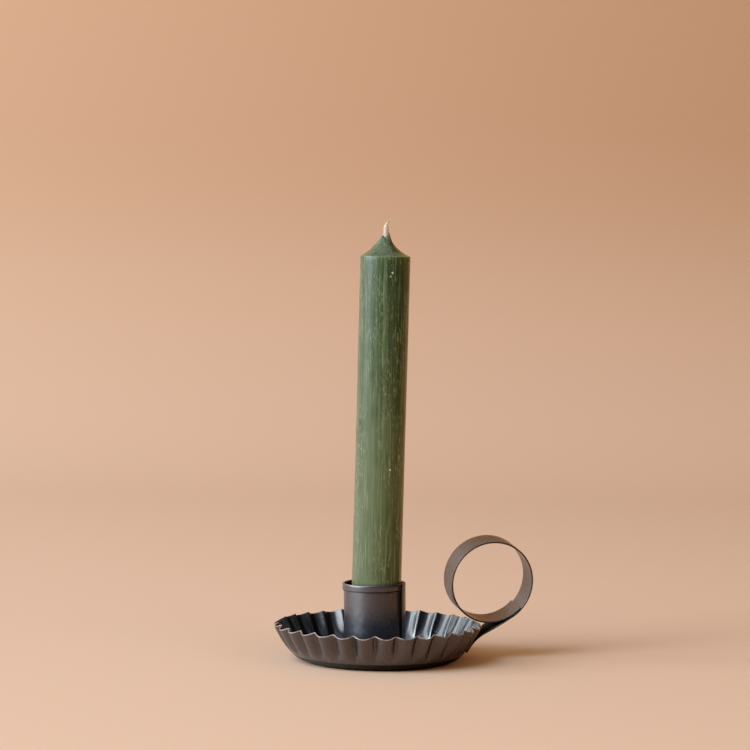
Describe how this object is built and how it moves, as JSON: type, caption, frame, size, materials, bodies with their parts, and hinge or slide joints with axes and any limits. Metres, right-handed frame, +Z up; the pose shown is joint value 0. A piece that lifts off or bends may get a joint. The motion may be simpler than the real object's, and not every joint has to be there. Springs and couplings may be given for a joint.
{
  "type": "chamberstick",
  "caption": "Fluted sheet-metal drip pan with a rolled candle socket, a flat-strip finger loop at its side and a straight cone-topped candle standing in the socket.",
  "frame": {"origin": "centre of the pan's base, on its underside, where the pan rests", "axes": "+Z up along the pan's axis, +X from the pan's centre to the finger loop"},
  "size_m": [0.1099, 0.088, 0.1861],
  "materials": {
    "pan_coat": "satin near-black powder coat",
    "socket_coat": "satin near-black powder coat",
    "loop_coat": "satin near-black powder coat",
    "joint_coat": "coated weld and solder metal",
    "green_wax": "waxy, frosted, streaked",
    "wick_cotton": "braided cotton"
  },
  "bodies": {
    "holder": {"drip_pan": "pan_coat", "candle_socket": "socket_coat", "socket_solder": "joint_coat", "finger_loop": "loop_coat", "handle_welds": "joint_coat", "loop_lap_weld": "joint_coat"},
    "candle": {"candle_wax": "green_wax", "wick": "wick_cotton"}
  },
  "joints": [
    {"name": "candle_lift", "type": "slide", "parent": "holder", "child": "candle", "axis": [0, 0, 1], "range_m": [0, 0.05]}
  ]
}
